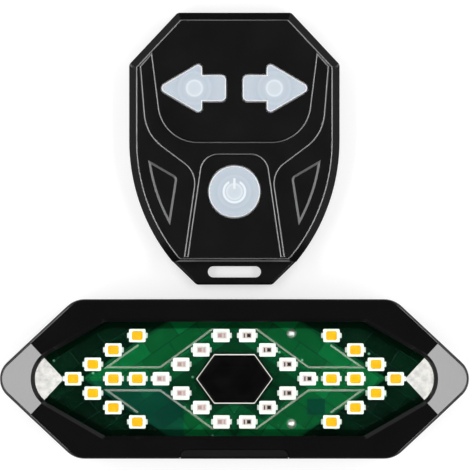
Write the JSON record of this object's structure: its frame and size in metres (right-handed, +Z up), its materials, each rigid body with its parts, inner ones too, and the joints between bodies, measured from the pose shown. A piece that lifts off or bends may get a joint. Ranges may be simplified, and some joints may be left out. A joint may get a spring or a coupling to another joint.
{
  "type": "bicycle turn signal light",
  "caption": "Bicycle tail light with amber arrow turn signals and a red diamond behind a clear lens, and its wireless handlebar remote with arrow and power keys",
  "frame": {"origin": "middle of the footprint of the lamp and the remote together, on the table they lie on", "axes": "+X along the lamp, to the right seen from the front; +Y from the lamp to the remote; +Z up, out of both fronts"},
  "size_m": [0.1, 0.0954, 0.024],
  "materials": {
    "bezel_black": "glossy black ABS",
    "housing_black": "fine satin black",
    "rubber_black": "dull black rubber",
    "gasket_rubber": "dull grey silicone",
    "screw_steel": "turned steel",
    "clear_lens": "clear polished polycarbonate",
    "board_green": "green solder mask over copper",
    "led_package_white": "white moulded package",
    "led_amber": "amber phosphor resin",
    "led_clear": "clear resin, faint pink",
    "solder": "bright solder",
    "button_black": "satin black",
    "switch_plastic": "moulded nylon",
    "foam": "closed cell foam",
    "battery_foil": "satin laminate foil",
    "lead_pvc": "red PVC",
    "socket_steel": "stamped steel",
    "socket_plastic": "black nylon",
    "chip_black": "moulded epoxy",
    "remote_black": "fine matt black",
    "key_silicone": "milky translucent silicone",
    "mat_silicone": "translucent silicone sheet",
    "cell_steel": "brushed steel",
    "contact_metal": "plated spring metal",
    "cap_black": "fine matt black"
  },
  "bodies": {
    "lamp": {"front_bezel": "bezel_black", "rear_housing": "housing_black", "post_pad": "rubber_black", "lens": "clear_lens", "housing_gasket": "gasket_rubber", "lens_gasket": "gasket_rubber", "main_board": "board_green", "left_amber_led_packages": "led_package_white", "left_amber_led_windows": "led_amber", "right_amber_led_packages": "led_package_white", "right_amber_led_windows": "led_amber", "red_led_packages": "led_package_white", "red_led_windows": "led_clear", "led_solder_tabs": "solder", "solder_joints": "solder", "power_switch": "switch_plastic", "battery_pad": "foam", "battery_cell": "battery_foil", "battery_leads": "lead_pvc", "usb_shell": "socket_steel", "usb_tongue": "socket_plastic", "control_chip": "chip_black", "radio_chip": "chip_black", "charge_chip": "chip_black", "power_inductor": "chip_black", "housing_screws": "screw_steel"},
    "lamp_button": {"power_button": "button_black", "power_switch_plunger": "switch_plastic"},
    "flap": {"usb_flap": "rubber_black"},
    "remote": {"remote_top_cover": "remote_black", "remote_bottom_cover": "remote_black", "remote_key_switches": "socket_plastic", "remote_key_mat": "mat_silicone", "remote_board": "board_green", "encoder_chip": "chip_black", "remote_crystal": "socket_steel", "coin_cell": "cell_steel", "cell_spring_contact": "contact_metal", "cell_side_contact": "contact_metal", "battery_cap_seal": "gasket_rubber", "remote_screws": "screw_steel"},
    "left_key": {"left_arrow_key": "key_silicone", "left_arrow_plunger": "switch_plastic"},
    "right_key": {"right_arrow_key": "key_silicone", "right_arrow_plunger": "switch_plastic"},
    "power_key": {"remote_power_key": "key_silicone", "remote_power_plunger": "switch_plastic"},
    "cap": {"battery_cap": "cap_black"}
  },
  "joints": [
    {"name": "power_button_press", "type": "slide", "parent": "lamp", "child": "lamp_button", "axis": [0, 0, -1], "range_m": [0, 0.0005], "stiffness_N_per_m": 3000, "springref_m": -0.0004},
    {"name": "usb_flap_hinge", "type": "hinge", "parent": "lamp", "child": "flap", "pos_m": [-0.0115, -0.0477, 0.019], "axis": [0, 0, -1], "range_deg": [0, 100]},
    {"name": "remote_lift", "type": "slide", "parent": "lamp", "child": "remote", "axis": [0, 0, 1], "range_m": [0, 0.1]},
    {"name": "left_key_press", "type": "slide", "parent": "remote", "child": "left_key", "axis": [0, 0, -1], "range_m": [0, 0.00035], "stiffness_N_per_m": 3000, "springref_m": -0.0003},
    {"name": "right_key_press", "type": "slide", "parent": "remote", "child": "right_key", "axis": [0, 0, -1], "range_m": [0, 0.00035], "stiffness_N_per_m": 3000, "springref_m": -0.0003},
    {"name": "power_key_press", "type": "slide", "parent": "remote", "child": "power_key", "axis": [0, 0, -1], "range_m": [0, 0.00035], "stiffness_N_per_m": 3000, "springref_m": -0.0003},
    {"name": "battery_cap_twist", "type": "hinge", "parent": "remote", "child": "cap", "pos_m": [0, 0.02245, 0.001], "axis": [0, 0, 1], "range_deg": [0, 50]}
  ]
}
